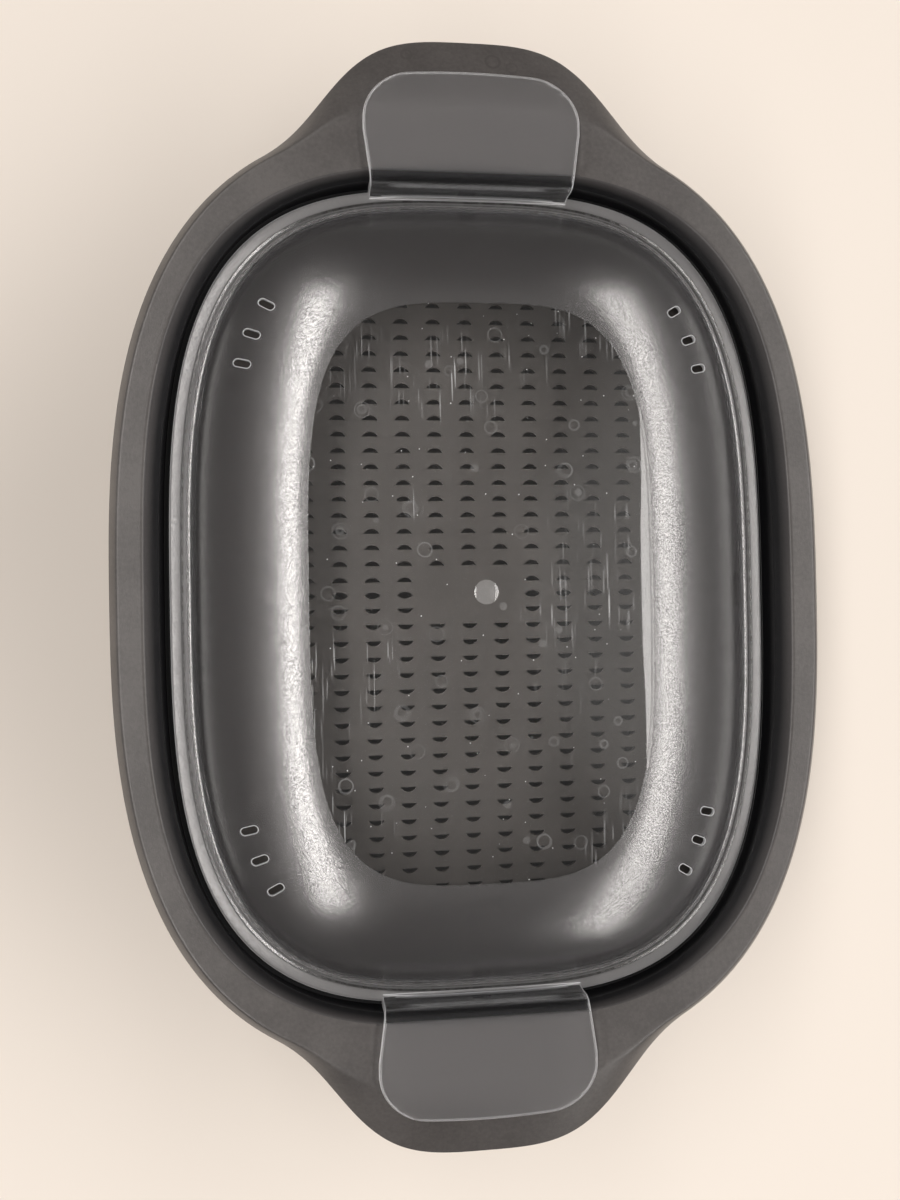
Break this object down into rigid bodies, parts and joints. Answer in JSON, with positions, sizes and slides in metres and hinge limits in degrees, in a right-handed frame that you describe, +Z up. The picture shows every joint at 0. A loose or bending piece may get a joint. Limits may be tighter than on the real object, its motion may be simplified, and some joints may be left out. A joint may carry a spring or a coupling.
{
  "type": "steamer attachment",
  "caption": "Oval steaming set: a deep dish with two handle plates on a round steam collar, a shallow perforated tray inside it, and a clear domed lid with lift tabs and corner vents.",
  "frame": {"origin": "centre of the steam collar's rest face, on the surface that the set stands on", "axes": "+X across the dish, +Y along it towards one handle, +Z up out of the dish's mouth"},
  "size_m": [0.249, 0.388, 0.1178],
  "materials": {
    "dish": "fine spark-eroded grain, dark warm grey",
    "tray": "smooth matte grey",
    "lid": "clear polished window, frosted shoulder and flange"
  },
  "bodies": {
    "dish": {"dish": "dish"},
    "tray": {"tray": "tray"},
    "lid": {"lid": "lid"}
  },
  "joints": [
    {"name": "tray_lift", "type": "slide", "parent": "dish", "child": "tray", "axis": [0, 0, 1], "range_m": [0, 0.12]},
    {"name": "lid_lift", "type": "slide", "parent": "tray", "child": "lid", "axis": [0, 0, 1], "range_m": [0, 0.1]}
  ]
}
